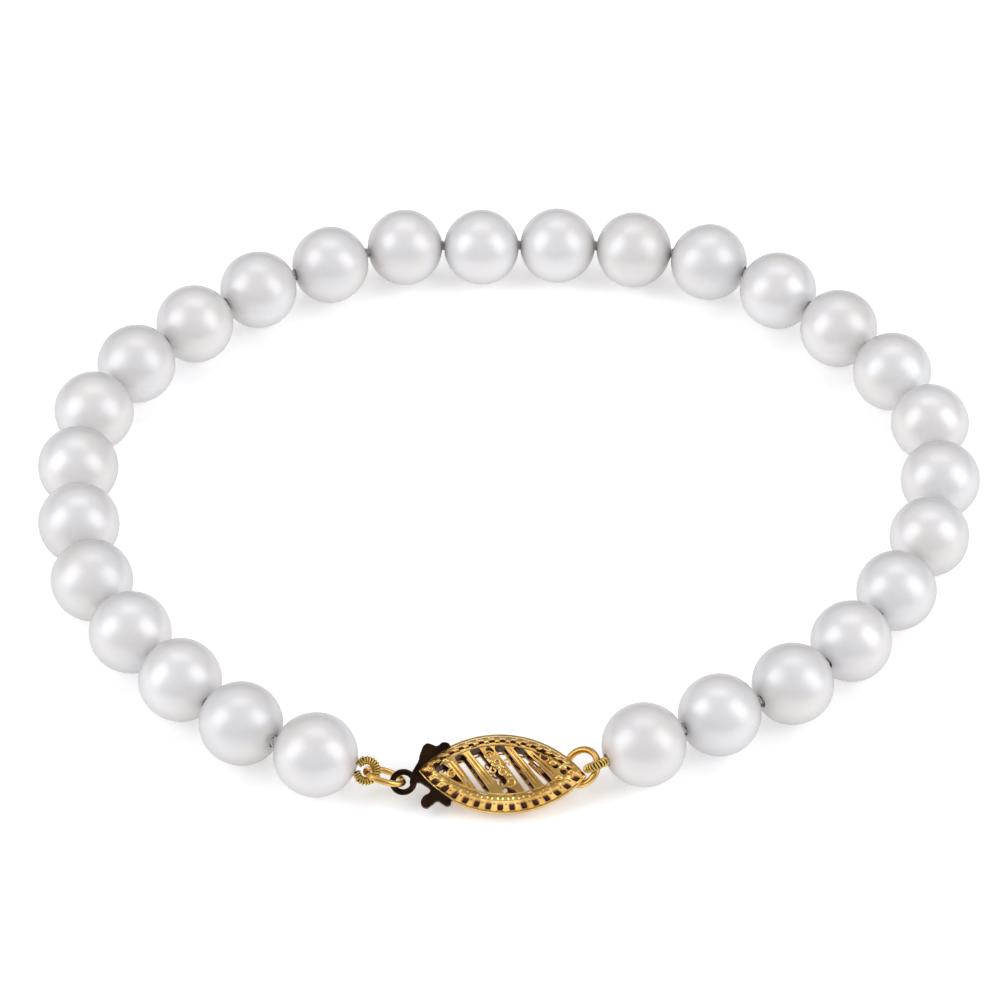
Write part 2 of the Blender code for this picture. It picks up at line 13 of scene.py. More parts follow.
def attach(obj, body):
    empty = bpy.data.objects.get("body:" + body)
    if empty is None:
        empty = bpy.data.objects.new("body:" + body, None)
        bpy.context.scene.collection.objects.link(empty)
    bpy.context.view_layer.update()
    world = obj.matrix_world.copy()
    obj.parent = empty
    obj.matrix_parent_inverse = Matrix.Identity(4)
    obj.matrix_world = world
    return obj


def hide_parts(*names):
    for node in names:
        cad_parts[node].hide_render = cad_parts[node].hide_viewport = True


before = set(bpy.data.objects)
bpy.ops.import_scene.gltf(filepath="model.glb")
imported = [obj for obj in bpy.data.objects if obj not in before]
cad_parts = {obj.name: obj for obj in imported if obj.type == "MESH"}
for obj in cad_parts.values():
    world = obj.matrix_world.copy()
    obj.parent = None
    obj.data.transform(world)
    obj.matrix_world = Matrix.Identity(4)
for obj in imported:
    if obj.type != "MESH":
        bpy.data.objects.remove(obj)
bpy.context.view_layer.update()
bpy.ops.object.select_all(action="DESELECT")
random.seed(28)

MM = 0.001

# Pearls and silk
PEARL_COUNT = 28
PEARL_RADIUS_MOST = 3.03 * MM
BORE_RADIUS = 0.46 * MM
STRAND_WIDTH = 0.22 * MM
STRAND_LAY = 0.12 * MM
TWIST_PITCH = 0.9 * MM
KNOT_RADIUS = 0.26 * MM
KNOT_POINTS = 42
KNOT_BULGE = 0.42
KNOT_THICKENING = 1.05
BORE_SMOOTH_SHARE = 0.17
# Waves that put a pearl off round: turns over its width, most height as a share of its radius
WOBBLES = ((1.0, 0.005), (2.0, 0.005), (3.0, 0.003), (5.0, 0.0012))
END_AXES = ((-0.9476, 0.3028, 0.1023), (-0.8946, -0.4436, -0.0549))

# Gimps
GIMP_WIRE = 0.15 * MM
GIMP_RADIUS = 0.255 * MM
GIMP_BEND = 0.75 * MM
GIMP_FOOT = 0.27 * MM
GIMP_START = 0.02 * MM
GIMP_SWEEP = math.radians(115.0)
GIMP_ARC_POINTS = 25
GIMP_COIL_SPACING = 1.18
LEFT_LOOP = Vector((-10.042, -28.28, 2.262)) * MM
RIGHT_LOOP = Vector((6.245, -28.016, 2.568)) * MM
LEFT_ACROSS = Vector((0.0276, 0.6878, 0.7254))
RIGHT_ACROSS = Vector((-0.0291, -0.7248, 0.6884))

# Jump ring
RING_WIRE = 0.46 * MM
RING_LENGTH = 3.2 * MM
RING_WIDTH = 2.6 * MM
RING_TWIST = math.radians(52.0)
RING_STEPS = 96
RING_OPENING = 8.0
RING_OPENING_TURN = 0.6

# Clasp: x along it, y across its face, z out of its face
CLASP = (
    Matrix.Translation(Vector((-0.503, -28.436, 2.034)) * MM)
    @ Matrix.Rotation(math.radians(-2.3), 4, "Z")
    @ Matrix.Rotation(math.radians(24.5), 4, "X")
)
HALF_LENGTH = 6.0 * MM
HALF_WIDTH = 2.95 * MM
RIM_FLUTES = 15
FLUTE_STEPS = 12
PIT_DEPTH = 0.30 * MM
SHALLOW_SHARE = 0.3
# The rim's section: inset and height in mm, whether the height is over the panel's dome,
# share of the pit's depth, tarnish and painted shade in the pit, tarnish and painted shade all
# round
RIM_PROFILE = (
    (0.02, 0.13, 0, 0.0, 0.0, 0.0),
    (0.06, 0.20, 0, 0.0, 0.0, 0.0),
    (0.17, 0.23, 0, 0.0, 0.0, 0.0),
    (0.21, 0.36, 0, 0.35, 0.5, 0.0),
    (0.27, 0.52, 0, 1.0, 1.0, 0.0),
    (0.40, 0.68, 0, 1.0, 1.0, 0.0),
    (0.50, 0.76, 0, 1.0, 1.0, 0.0),
    (0.56, 0.81, 0, 0.5, 0.4, 0.0),
    (0.66, 0.04, 1, 0.20, 0.0, 0.0),
    (0.71, 0.06, 1, 0.45, 0.5, 0.0),
    (0.76, 0.07, 1, 0.80, 1.0, 0.0),
    (0.90, 0.07, 1, 0.90, 1.0, 0.3),
    (0.96, 0.03, 1, 0.80, 1.0, 1.0),
    (1.02, -0.16, 1, 0.0, 1.0, 1.0),
)
PANEL_EDGE = 0.68 * MM
PANEL_CROWN = 1.25 * MM
PANEL_WALL = 0.34 * MM
PANEL_INSET = 0.93 * MM
PANEL_STEPS = 32
PANEL_SCALES = (1.0, 0.9, 0.78, 0.65, 0.5, 0.35, 0.2, 0.08, 0.01)
# The panel face's share of tarnish and painted shade, to set it darker than its relief.
PANEL_TARNISH_AND_SHADE = 0.28
EDGE_WIRE_INSET = 1.12 * MM
GAP_WIDTH = 0.72 * MM
END_RING_RADIUS = 1.3 * MM
END_RING_WIRE = 0.50 * MM
END_RING_MIDDLE = Vector((5.6, 0.85, -0.45)) * MM
END_RING_TILT = math.radians(30.0)
EYELET = Vector((-6.9, -0.79, 0.0)) * MM

# Gaps through both panels: start x, start y, end x, end y in mm, share of the gap width
GAPS = (
    (-2.94, 0.80, -1.16, -1.58, 1.0),
    (-1.92, 1.36, 0.06, -0.88, 1.0),
    (-0.18, 1.59, 2.01, -1.32, 1.0),
    (1.14, 1.53, 3.25, -0.73, 1.0),
    (2.52, 1.18, 3.00, 1.00, 1.0),
    (-4.32, 0.09, -4.02, -0.12, 1.1),
    (-3.18, -0.71, -2.70, -0.91, 0.9),
    (-0.96, 1.48, -0.78, 1.30, 0.6),
    (0.36, -1.53, 0.96, -1.68, 0.6),
    (3.72, 0.47, 3.78, 0.41, 0.6),
    (4.32, 0.06, 4.38, 0.00, 0.6),
)
# Ridged bars between the gaps: start x, start y, end x, end y in mm
BARS = (
    (-2.46, 1.15, -0.66, -1.12),
    (-3.60, 0.41, -2.04, -1.48),
    (0.48, 1.62, 2.52, -0.88),
    (1.92, 1.33, 3.72, -0.24),
)
# Curled wires: middle x, middle y, radius in mm, turns, first angle in degrees
CURLS = (
    (-0.95, 0.95, 0.34, 1.2, 30.0),
    (-0.35, 0.45, 0.36, 1.1, 200.0),
    (0.15, -0.25, 0.34, 1.2, 60.0),
    (0.70, -0.95, 0.36, 1.1, 240.0),
    (-0.55, -0.15, 0.26, 1.0, 120.0),
    (0.35, 0.50, 0.26, 1.0, 300.0),
    (-3.45, -0.42, 0.36, 1.1, 80.0),
    (-4.95, -0.05, 0.34, 0.8, 60.0),
    (3.05, 0.95, 0.40, 0.9, 150.0),
)
# Bosses: middle x, middle y, radius in mm
BOSSES = (
    (3.59, 0.61, 0.26),
    (4.30, 0.33, 0.24),
    (4.05, -0.45, 0.24),
    (4.90, 0.02, 0.22),
    (-3.95, 0.55, 0.20),
    (0.00, 0.10, 0.20),
    (-0.75, 0.50, 0.16),
    (0.55, -0.45, 0.16),
)
# The tongue's outline in mm, counterclockwise from its eyelet's neck
TONGUE = (
    (-6.33, -0.20), (-6.10, 0.35), (-5.91, 0.74), (-5.79, 1.33), (-5.40, 2.07),
    (-5.04, 2.04), (-4.65, 1.92), (-4.20, 2.21), (-3.72, 2.04), (-3.78, 1.65),
    (-4.32, 1.00), (-4.65, 0.30), (-4.62, -0.59), (-4.14, -1.48), (-3.45, -2.24),
    (-3.72, -2.48), (-4.08, -2.33), (-4.44, -2.15), (-4.80, -2.42), (-5.22, -2.68),
    (-5.58, -2.42), (-5.46, -1.89), (-4.98, -1.42), (-5.40, -1.00), (-5.88, -0.80),
    (-6.27, -1.12),
)


def pick(obj):
    """Selects this object alone."""
    bpy.ops.object.select_all(action="DESELECT")
    obj.select_set(True)
    bpy.context.view_layer.objects.active = obj
    return obj


def settle(obj):
    """Puts the object's place into its mesh."""
    pick(obj)
    bpy.ops.object.transform_apply(location=True, rotation=True, scale=True)
    return obj


def joined(name, objs):
    """One object from several."""
    bpy.ops.object.select_all(action="DESELECT")
    for obj in objs:
        obj.select_set(True)
    bpy.context.view_layer.objects.active = objs[0]
    bpy.ops.object.join()
    objs[0].name = name
    objs[0].data.name = name
    return objs[0]


def smooth(obj, degrees=None):
    """Shades the object smooth, with edges kept past this angle."""
    pick(obj)
    if degrees is None:
        bpy.ops.object.shade_smooth()
    else:
        bpy.ops.object.shade_smooth_by_angle(angle=math.radians(degrees))
    return obj


def wire(name, points, width, sides=8, closed=False, radii=None):
    """A round wire along the points, as a mesh."""
    curve = bpy.data.curves.new(name, "CURVE")
    curve.dimensions = "3D"
    curve.bevel_depth = width / 2
    curve.bevel_resolution = max(0, (sides - 4) // 2)
    curve.use_fill_caps = not closed
    spline = curve.splines.new("POLY")
    spline.points.add(len(points) - 1)
    spline.use_cyclic_u = closed
    for i, point in enumerate(points):
        spline.points[i].co = (*point, 1.0)
        spline.points[i].radius = radii[i] if radii else 1.0
    obj = bpy.data.objects.new(name, curve)
    bpy.context.scene.collection.objects.link(obj)
    pick(obj)
    bpy.ops.object.convert(target="MESH")
    return bpy.context.object


def finish_piece(obj, material, slot, *nodes):
    """Gives the piece its material and its ride, and hides the imported parts it stands for."""
    obj.data.materials.clear()
    obj.data.materials.append(material)
    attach(obj, "root")
    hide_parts(*nodes)
    return obj


def set_tarnish_and_shade(obj, value):
    """Writes the obj's share of tarnish and painted shade to all its points."""
    attribute = obj.data.attributes.get("tarnish_and_shade") or obj.data.attributes.new(
        "tarnish_and_shade", "FLOAT", "POINT"
    )
    for item in attribute.data:
        item.value = value
    return obj


# Materials


def mottle_group():
    """Two noises that mottle a colour between two others, with a height and a mask."""
    group = bpy.data.node_groups.new("mottle", "ShaderNodeTree")
    for name, kind in (
        ("Vector", "NodeSocketVector"),
        ("Scale", "NodeSocketFloat"),
        ("Fine Scale", "NodeSocketFloat"),
        ("Light", "NodeSocketColor"),
        ("Dark", "NodeSocketColor"),
    ):
        group.interface.new_socket(name, in_out="INPUT", socket_type=kind)
    for name, kind in (
        ("Color", "NodeSocketColor"),
        ("Mask", "NodeSocketFloat"),
        ("Height", "NodeSocketFloat"),
    ):
        group.interface.new_socket(name, in_out="OUTPUT", socket_type=kind)
    nodes, links = group.nodes, group.links
    start = nodes.new("NodeGroupInput")
    end = nodes.new("NodeGroupOutput")
    broad = nodes.new("ShaderNodeTexNoise")
    broad.inputs["Detail"].default_value = 3.0
    fine = nodes.new("ShaderNodeTexNoise")
    fine.inputs["Detail"].default_value = 4.0
    ramp = nodes.new("ShaderNodeMapRange")
    ramp.inputs["From Min"].default_value = 0.32
    ramp.inputs["From Max"].default_value = 0.68
    mix = nodes.new("ShaderNodeMix")
    mix.data_type = "RGBA"
    links.new(start.outputs["Vector"], broad.inputs["Vector"])
    links.new(start.outputs["Vector"], fine.inputs["Vector"])
    links.new(start.outputs["Scale"], broad.inputs["Scale"])
    links.new(start.outputs["Fine Scale"], fine.inputs["Scale"])
    links.new(broad.outputs["Fac"], ramp.inputs["Value"])
    links.new(ramp.outputs["Result"], mix.inputs["Factor"])
    links.new(start.outputs["Light"], mix.inputs["A"])
    links.new(start.outputs["Dark"], mix.inputs["B"])
    links.new(mix.outputs["Result"], end.inputs["Color"])
    links.new(ramp.outputs["Result"], end.inputs["Mask"])
    links.new(fine.outputs["Fac"], end.inputs["Height"])
    return group


MOTTLE = mottle_group()


def finish(name, light, dark, scale, fine_scale, rough, bump, metallic):
    """A material: mottled colour, mottled roughness and a fine bump, on Object coordinates."""
    made = bpy.data.materials.new(name)
    made.use_nodes = True
    nodes, links = made.node_tree.nodes, made.node_tree.links
    shader = nodes["Principled BSDF"]
    shader.inputs["Metallic"].default_value = metallic
    place = nodes.new("ShaderNodeTexCoord")
    mottle = nodes.new("ShaderNodeGroup")
    mottle.node_tree = MOTTLE
    mottle.name = "mottle"
    mottle.inputs["Scale"].default_value = scale
    mottle.inputs["Fine Scale"].default_value = fine_scale
    mottle.inputs["Light"].default_value = (*light, 1.0)
    mottle.inputs["Dark"].default_value = (*dark, 1.0)
    links.new(place.outputs["Object"], mottle.inputs["Vector"])
    links.new(mottle.outputs["Color"], shader.inputs["Base Color"])
    spread = nodes.new("ShaderNodeMapRange")
    spread.inputs["To Min"].default_value = rough[0]
    spread.inputs["To Max"].default_value = rough[1]
    links.new(mottle.outputs["Mask"], spread.inputs["Value"])
    links.new(spread.outputs["Result"], shader.inputs["Roughness"])
    relief = nodes.new("ShaderNodeBump")
    relief.inputs["Strength"].default_value = bump
    relief.inputs["Distance"].default_value = 0.02 * MM
    links.new(mottle.outputs["Height"], relief.inputs["Height"])
    links.new(relief.outputs["Normal"], shader.inputs["Normal"])
    return made


def nacre_material():
    """White nacre: pinkish and bluish overtones, painted shade towards its outline, a soft satin
    skin.
    """
    made = finish(
        "nacre", (0.83, 0.815, 0.81), (0.77, 0.745, 0.735), 130.0, 900.0, (0.34, 0.42), 0.05, 0.22
    )
    nodes, links = made.node_tree.nodes, made.node_tree.links
    shader = nodes["Principled BSDF"]
    overtone = nodes.new("ShaderNodeTexNoise")
    overtone.inputs["Scale"].default_value = 320.0
    overtone.inputs["Detail"].default_value = 1.0
    links.new(nodes["Texture Coordinate"].outputs["Object"], overtone.inputs["Vector"])
    tint = nodes.new("ShaderNodeValToRGB")
    tint.color_ramp.elements[0].position = 0.35
    tint.color_ramp.elements[0].color = (0.97, 0.94, 0.92, 1.0)
    tint.color_ramp.elements[1].position = 0.65
    tint.color_ramp.elements[1].color = (0.94, 0.96, 0.98, 1.0)
    links.new(overtone.outputs["Fac"], tint.inputs["Fac"])
    mix = nodes.new("ShaderNodeMix")
    mix.data_type = "RGBA"
    mix.blend_type = "MULTIPLY"
    mix.inputs["Factor"].default_value = 0.7
    links.new(nodes["mottle"].outputs["Color"], mix.inputs["A"])
    links.new(tint.outputs["Color"], mix.inputs["B"])
    # Painted shade: the base colour darkens towards the pearl's outline, where its face turns from
    # the view.
    edge = nodes.new("ShaderNodeLayerWeight")
    edge.inputs["Blend"].default_value = 0.35
    shade = nodes.new("ShaderNodeValToRGB")
    shade.color_ramp.elements[0].position = 0.25
    shade.color_ramp.elements[0].color = (1.0, 1.0, 1.0, 1.0)
    shade.color_ramp.elements[1].position = 1.0
    shade.color_ramp.elements[1].color = (0.56, 0.555, 0.55, 1.0)
    links.new(edge.outputs["Facing"], shade.inputs["Fac"])
    painted_outline_shade = nodes.new("ShaderNodeMix")
    painted_outline_shade.data_type = "RGBA"
    painted_outline_shade.blend_type = "MULTIPLY"
    painted_outline_shade.inputs["Factor"].default_value = 1.0
    links.new(mix.outputs["Result"], painted_outline_shade.inputs["A"])
    links.new(shade.outputs["Color"], painted_outline_shade.inputs["B"])
    links.new(painted_outline_shade.outputs["Result"], shader.inputs["Base Color"])
    shader.inputs["Specular Tint"].default_value = (0.7, 0.7, 0.7, 1.0)
    shader.inputs["Coat Weight"].default_value = 0.3
    shader.inputs["Coat Roughness"].default_value = 0.26
    shader.inputs["Coat IOR"].default_value = 1.6
    shader.inputs["IOR"].default_value = 1.65
    return made


def tarnished_and_shaded(made, recess, recess_rough):
    """Darkens a metal in its recesses, as its tarnish attribute says: tarnish, and painted shade
    where shade falls.
    """
    nodes, links = made.node_tree.nodes, made.node_tree.links
    shader = nodes["Principled BSDF"]
    mask = nodes.new("ShaderNodeAttribute")
    mask.attribute_name = "tarnish_and_shade"
    patchy = nodes.new("ShaderNodeMath")
    patchy.operation = "MULTIPLY_ADD"
    patchy.use_clamp = True
    links.new(nodes["mottle"].outputs["Mask"], patchy.inputs[0])
    patchy.inputs[1].default_value = 0.25
    links.new(mask.outputs["Fac"], patchy.inputs[2])
    mix = nodes.new("ShaderNodeMix")
    mix.data_type = "RGBA"
    links.new(patchy.outputs["Value"], mix.inputs["Factor"])
    links.new(nodes["mottle"].outputs["Color"], mix.inputs["A"])
    # The recess colour is tarnish and painted shade in one.
    mix.inputs["B"].default_value = (*recess, 1.0)
    links.new(mix.outputs["Result"], shader.inputs["Base Color"])
    rough = nodes.new("ShaderNodeMix")
    rough.data_type = "FLOAT"
    links.new(patchy.outputs["Value"], rough.inputs["Factor"])
    links.new(nodes["Map Range"].outputs["Result"], rough.inputs["A"])
    rough.inputs["B"].default_value = recess_rough
    links.new(rough.outputs["Result"], shader.inputs["Roughness"])
    return made


nacre = nacre_material()
silk = finish("silk", (0.66, 0.62, 0.63), (0.50, 0.46, 0.47), 2500.0, 9000.0, (0.7, 0.9), 0.5, 0.0)
silk.node_tree.nodes["Principled BSDF"].inputs["Sheen Weight"].default_value = 0.3
# Near-black recess colour: tarnish, and painted shade in the housing's pits, gaps and walls.
gold = tarnished_and_shaded(
    finish("gold", (0.97, 0.66, 0.22), (0.82, 0.47, 0.11), 600.0, 2600.0, (0.12, 0.24), 0.12, 1.0),
    (0.07, 0.022, 0.02),
    0.4,
)
# Near-black recess colour: painted shade inside the gimps' coils, and patchy tarnish.
dull_gold = tarnished_and_shaded(
    finish(
        "dull_gold", (0.95, 0.66, 0.16), (0.70, 0.50, 0.14), 700.0, 4000.0, (0.24, 0.4), 0.1, 1.0
    ),
    (0.05, 0.04, 0.025),
    0.6,
)
# A near-black, dark brown metal for the tongue.
dark_brown_metal = finish(
    "oxidised_brass", (0.055, 0.026, 0.012), (0.008, 0.005, 0.004),
    500.0, 3000.0, (0.22, 0.4), 0.2, 1.0,
)

# Where the pearls are


def pearl_place(name):
    """The middle of a pearl's solid, at the height of its own radius."""
    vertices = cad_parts[name].data.vertices
    points = {tuple(round(c, 6) for c in vertex.co) for vertex in vertices}
    middle = Vector([sum(point[axis] for point in points) / len(points) for axis in range(3)])
    radius = min(middle.z, PEARL_RADIUS_MOST)
    return Vector((middle.x, middle.y, radius)), radius


names = [f"pearl_{i + 1:02d}" for i in range(PEARL_COUNT)]
places = [pearl_place(name) for name in names]
middles = [middle for middle, _ in places]
radii = [radius for _, radius in places]
axes = [Vector(END_AXES[0])]
for before, here, after in zip(middles, middles[1:], middles[2:]):
    axes.append(((after - here).normalized() + (here - before).normalized()).normalized())
axes.append(Vector(END_AXES[1]))
axes[0] = -axes[0] if axes[0].dot(middles[1] - middles[0]) < 0 else axes[0]
axes[-1] = -axes[-1] if axes[-1].dot(middles[-1] - middles[-2]) < 0 else axes[-1]


def model_pearl():
    """A smooth pearl of radius 1, drilled along X, as a mesh."""
    bpy.ops.mesh.primitive_uv_sphere_add(
        segments=64, ring_count=40, radius=1.0, rotation=(0.0, math.pi / 2, 0.0)
    )
    pearl = settle(bpy.context.object)
    bore = BORE_RADIUS / (3 * MM)
    for vertex in pearl.data.vertices:
        vertex.select = math.hypot(vertex.co.y, vertex.co.z) < 0.85 * bore
    for edge in pearl.data.edges:
        edge.select = False
    for face in pearl.data.polygons:
        face.select = False
    bpy.ops.object.mode_set(mode="EDIT")
    bpy.ops.mesh.delete(type="VERT")
    bpy.ops.mesh.select_all(action="SELECT")
    bpy.ops.mesh.region_to_loop()
    bpy.ops.mesh.bridge_edge_loops(number_cuts=2)
    bpy.ops.mesh.select_all(action="SELECT")
    bpy.ops.mesh.normals_make_consistent(inside=False)
    bpy.ops.object.mode_set(mode="OBJECT")
    smooth(pearl, 50.0)
    return pearl


def wobble(mesh, seed):
    """Makes a pearl a little off round."""
    dice = random.Random(seed)
    waves = []
    for turns, most in WOBBLES:
        way = Vector([dice.gauss(0, 1) for _ in range(3)]).normalized()
        waves.append((way, turns, most, dice.uniform(0, 6.28)))
    for vertex in mesh.vertices:
        out = vertex.co.normalized()
        if math.hypot(vertex.co.y, vertex.co.z) < BORE_SMOOTH_SHARE:
            continue
        swell = sum(
            most * math.cos(2 * turns * out.dot(way) + phase) for way, turns, most, phase in waves
        )
        vertex.co *= 1 + swell - 0.003
    return mesh


def make_pearls():
    """Every pearl: a copy of one model with its own mesh, size, turn and wobble."""
    model = model_pearl()
    for i, (name, middle, radius, axis) in enumerate(zip(names, middles, radii, axes)):
        mesh = wobble(model.data.copy(), i)
        turn = Matrix.Rotation(random.uniform(0, 2 * math.pi), 4, "X")
        aim = axis.to_track_quat("X", "Z").to_matrix().to_4x4()
        mesh.transform(Matrix.Translation(middle) @ aim @ turn @ Matrix.Scale(radius, 4))
        pearl = bpy.data.objects.new("nacre_" + name, mesh)
        mesh.name = pearl.name
        bpy.context.scene.collection.objects.link(pearl)
        finish_piece(pearl, nacre, "nacre", name)
    bpy.data.objects.remove(model)


# Silk


def resampled(line, step):
    """Points at equal steps along a line of points."""
    reached = [0.0]
    for a, b in zip(line, line[1:]):
        reached.append(reached[-1] + (b - a).length)
    count = max(2, round(reached[-1] / step))
    found = []
    at = 0
    for k in range(count + 1):
        want = reached[-1] * k / count
        while at < len(reached) - 2 and reached[at + 1] < want:
            at += 1
        run = reached[at + 1] - reached[at]
        found.append(line[at].lerp(line[at + 1], (want - reached[at]) / run if run else 0.0))
    return found


def coil(points, radius, pitch, per_turn, phase=0.0):
    """A helix of this radius and pitch around a line of close points."""
    line = resampled(points, pitch / per_turn)
    side = None
    helix = []
    for i, point in enumerate(line):
        ahead = line[min(i + 1, len(line) - 1)] - line[max(i - 1, 0)]
        ahead.normalize()
        if side is None:
            side = ahead.orthogonal().normalized()
        side = (side - ahead * side.dot(ahead)).normalized()
        up = ahead.cross(side)
        angle = phase + 2 * math.pi * i / per_turn
        helix.append(point + radius * (math.cos(angle) * side + math.sin(angle) * up))
    return helix


def make_thread():
    """Three twisted strands through all the pearls, and a tied knot in each gap."""
    path = []
    for middle, radius, axis in zip(middles, radii, axes):
        path += [middle - axis * 0.985 * radius, middle + axis * 0.985 * radius]
    strands = []
    for k in range(3):
        helix = coil(path, STRAND_LAY, TWIST_PITCH, 8, k * 2 * math.pi / 3)
        strands.append(wire("strand", helix, STRAND_WIDTH, 6))
    turns = []
    for i in range(PEARL_COUNT - 1):
        near = middles[i] + axes[i] * radii[i]
        far = middles[i + 1] - axes[i + 1] * radii[i + 1]
        centre = (near + far) / 2
        ahead = (middles[i + 1] - middles[i]).normalized()
        side = ahead.orthogonal().normalized()
        up = ahead.cross(side)
        lead = random.uniform(0, 6.28)
        length = 0.5 * (far - near).length + 0.04 * MM
        loop = []
        for k in range(KNOT_POINTS):
            t = 2 * math.pi * k / KNOT_POINTS
            out = KNOT_RADIUS * (1 + KNOT_BULGE * math.cos(3 * t)) / 1.2
            along = length * 0.55 * math.sin(3 * t)
            angle = 2 * t + lead
            around = math.cos(angle) * side + math.sin(angle) * up
            loop.append(centre + ahead * along + out * around)
        turns.append(wire("knot", loop, STRAND_WIDTH * KNOT_THICKENING, 6, closed=True))
    thread = smooth(joined("twisted_silk", strands + turns))
    return finish_piece(thread, silk, "silk", "silk_thread")


# Gimps and jump ring


def make_gimp(name, middle, radius, loop, across, node):
    """A close coil of fine wire, bent into a loop between the pearl and the ring."""
    out = (loop - middle).normalized()
    side = (across - out * across.dot(out)).normalized()
    start = radius + GIMP_START
    reach = (loop - middle).length
    points = [middle + out * start - side * GIMP_FOOT]
    for i in range(GIMP_ARC_POINTS):
        angle = (i / (GIMP_ARC_POINTS // 2) - 1) * GIMP_SWEEP
        along = out * (reach + GIMP_BEND * math.cos(angle))
        points.append(middle + along + side * GIMP_BEND * math.sin(angle))
    points.append(middle + out * start + side * GIMP_FOOT)
    # The core inside the coil takes the near-black recess colour: painted shade between the turns.
    core = set_tarnish_and_shade(wire("core", points, 2 * GIMP_RADIUS - GIMP_WIRE * 0.4, 10), 1.0)
    turns = coil(points, GIMP_RADIUS, GIMP_WIRE * GIMP_COIL_SPACING, 14)
    helix = set_tarnish_and_shade(wire("helix", turns, GIMP_WIRE, 6), 0.0)
    return finish_piece(smooth(joined(name, [core, helix])), dull_gold, "dull_gold", node)


def make_jump_ring():
    """The oval ring, with its butted ends at the gimp."""
    eyelet = CLASP @ EYELET
    middle = (eyelet + LEFT_LOOP) / 2
    long = (LEFT_LOOP - eyelet).normalized()
    face = CLASP.to_3x3() @ Vector((0.0, 0.0, 1.0))
    flat = face.cross(long).normalized()
    normal = long.cross(flat).normalized()
    short = flat * math.cos(RING_TWIST) + normal * math.sin(RING_TWIST)
    points = []
    for i in range(RING_STEPS + 1):
        turned = RING_OPENING / 2 + (360.0 - RING_OPENING) * i / RING_STEPS
        angle = math.radians(turned) + RING_OPENING_TURN
        points.append(
            middle
            + long * (RING_LENGTH - RING_WIRE) / 2 * math.cos(angle)
            + short * (RING_WIDTH - RING_WIRE) / 2 * math.sin(angle)
        )
    ring = set_tarnish_and_shade(smooth(wire("oval_ring", points, RING_WIRE, 16), 60.0), 0.0)
    return finish_piece(ring, gold, "gold", "jump_ring")


# Clasp


def marquise(share, inset, side):
    """A point on the pointed oval, from its left tip at share -1 to its right tip at 1."""
    tip = 2 * math.atan2(HALF_WIDTH, HALF_LENGTH)
    length = HALF_LENGTH - inset / math.sin(tip)
    width = HALF_WIDTH - inset
    radius = (length**2 + width**2) / (2 * width)
    angle = share * math.asin(length / radius)
    return radius * math.sin(angle), side * (radius * math.cos(angle) - radius + width)


def dome(x, y):
    """How high the panel's face stands over this point."""
    share = abs(x / HALF_LENGTH) ** 2 + abs(y / HALF_WIDTH) ** 2
    return PANEL_EDGE + (PANEL_CROWN - PANEL_EDGE) * max(0.0, 1 - share)


def shell(name, loops, tarnish_and_shade):
    """A mesh of quads between closed loops of points, the last loop joined to the first."""
    bm = bmesh.new()
    # Each point's share of tarnish and painted shade.
    layer = bm.verts.layers.float.new("tarnish_and_shade")
    rows = []
    for k, loop in enumerate(loops):
        row = []
        for i, point in enumerate(loop):
            vertex = bm.verts.new(point)
            vertex[layer] = tarnish_and_shade[k][i]
            row.append(vertex)
        rows.append(row)
    for near, far in zip(rows, rows[1:] + rows[:1]):
        for i in range(len(near)):
            j = (i + 1) % len(near)
            bm.faces.new((near[i], near[j], far[j], far[i]))
    bmesh.ops.remove_doubles(bm, verts=bm.verts, dist=0.0005 * MM)
    bmesh.ops.recalc_face_normals(bm, faces=bm.faces)
    mesh = bpy.data.meshes.new(name)
    bm.to_mesh(mesh)
    bm.free()
    obj = bpy.data.objects.new(name, mesh)
    bpy.context.scene.collection.objects.link(obj)
    return obj


def make_rim():
    """The rim: a smooth flange, and bright flutes with a pit between each two, darkened with
    tarnish and painted shade.
    """
    count = FLUTE_STEPS * RIM_FLUTES
    loops, shade_and_tarnish_rows = [], []
    for side in (1, -1):
        for i in range(count):
            share = side * (1 - 2 * i / count)
            wave = 0.5 - 0.5 * math.cos(2 * math.pi * (i / FLUTE_STEPS))
            pit = min(1.0, max(0.0, (wave - 0.40) * 3.2))
            loop, marks = [], []
            for face, half in ((1, RIM_PROFILE), (-1, RIM_PROFILE[::-1])):
                for inset, height, on_panel, depth, dark, groove in half:
                    x, y = marquise(share, inset * MM, side)
                    height = height * MM + (dome(x, y) if on_panel else 0.0)
                    # The upper edge is pierced beside the panel, the lower one in its wall
                    deep = (side == 1) == bool(on_panel)
                    sink = pit * (1.0 if deep else SHALLOW_SHARE) * depth * PIT_DEPTH
                    loop.append((x, y, face * (height - sink)))
                    # The marks paint shade and tarnish into the pits and into the groove by the
                    # panel.
                    marks.append(max(pit * dark * deep, groove))
            loops.append(loop)
            shade_and_tarnish_rows.append(marks)
    return shell("rim", loops, shade_and_tarnish_rows)


def make_panel(face):
    """A domed panel with its gaps not yet cut."""
    loops, shade_and_tarnish_rows = [], []
    for wall, order in ((0.0, PANEL_SCALES), (PANEL_WALL, PANEL_SCALES[::-1])):
        for scale in order:
            # Painted shade and tarnish: the panel's inner wall in full, its face in part.
            shade_and_tarnish_rows.append([1.0 if wall else PANEL_TARNISH_AND_SHADE] * 2 * PANEL_STEPS)
            loop = []
            for side in (1, -1):
                for i in range(PANEL_STEPS):
                    x, y = marquise(side * (1 - 2 * i / PANEL_STEPS), PANEL_INSET, side)
                    x, y = x * scale, y * scale
                    loop.append((x, y, face * (dome(x, y) - wall)))
            loops.append(loop)
    return shell("panel", loops, shade_and_tarnish_rows)


